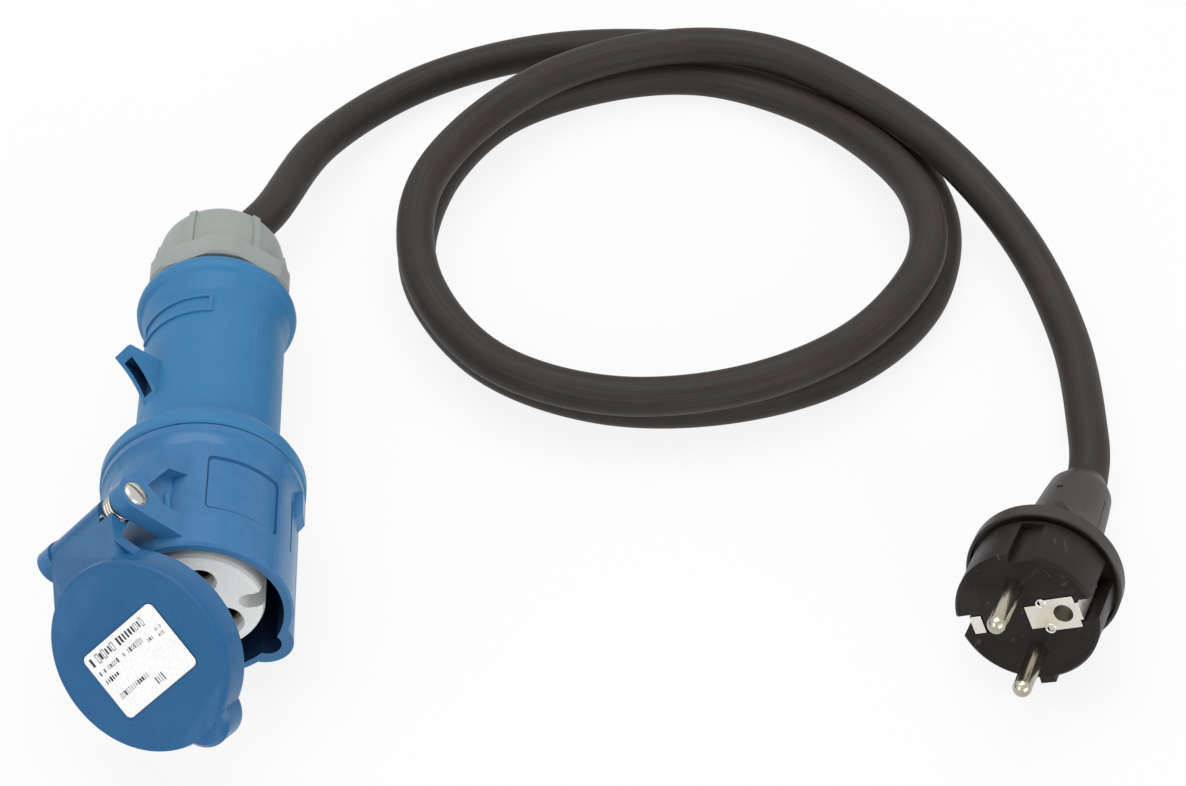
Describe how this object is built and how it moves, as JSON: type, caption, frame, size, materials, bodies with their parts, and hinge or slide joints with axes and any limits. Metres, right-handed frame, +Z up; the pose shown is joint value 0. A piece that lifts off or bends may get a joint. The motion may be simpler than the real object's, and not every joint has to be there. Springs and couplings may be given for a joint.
{
  "type": "power adapter cable",
  "caption": "Adapter cable from a round industrial coupler with a sprung hinged lid, through a coiled rubber cable, to an earthed two-pin plug.",
  "frame": {"origin": "on the floor under the middle of the coupler's bounding box, the cable and plug left out", "axes": "+Z up; the coupler lies along Y with its mouth towards -Y; the cable's turns and the plug lie towards +X"},
  "size_m": [0.2817, 0.2839, 0.0668],
  "materials": {
    "blue_plastic": "satin moulded plastic",
    "seal_rubber": "matte",
    "pale_plastic": "satin",
    "contact_brass": "bright",
    "zinc_steel": "zinc plated",
    "spring_steel": "bright wire",
    "strap_steel": "plated strip",
    "label_white": "bare printed film",
    "grey_plastic": "satin moulded plastic",
    "cable_rubber": "matte sheath",
    "core_brown": "satin",
    "core_blue": "satin",
    "core_green": "satin",
    "plug_plastic": "semi-gloss",
    "plug_rubber": "satin",
    "pin_nickel": "nickel plated"
  },
  "bodies": {
    "adapter": {"front_housing": "blue_plastic", "handle": "blue_plastic", "housing_seal": "seal_rubber", "contact_insert": "pale_plastic", "contact_holders": "pale_plastic", "live_contact": "contact_brass", "neutral_contact": "contact_brass", "earth_contact": "contact_brass", "terminal_screws": "zinc_steel", "hinge_pin": "zinc_steel", "lid_spring": "spring_steel", "gland_nut": "grey_plastic", "gland_clamp": "pale_plastic", "gland_seal": "seal_rubber", "live_core": "core_brown", "neutral_core": "core_blue", "earth_core": "core_green", "cable": "cable_rubber", "plug_front": "plug_plastic", "plug_shell": "plug_rubber", "plug_screw": "zinc_steel", "plug_live_pin": "pin_nickel", "plug_neutral_pin": "pin_nickel", "plug_earth_strap": "strap_steel", "plug_cord_clamp": "zinc_steel", "plug_live_core": "core_brown", "plug_neutral_core": "core_blue", "plug_earth_core": "core_green"},
    "lid": {"lid": "blue_plastic", "lid_gasket": "seal_rubber", "lid_label": "label_white"}
  },
  "joints": [
    {"name": "lid_hinge", "type": "hinge", "parent": "adapter", "child": "lid", "pos_m": [-0.01745, -0.04137, 0.05057], "axis": [-0.682, -0.0522, -0.7295], "range_deg": [-35, 85], "deforming": ["lid_spring"]}
  ]
}
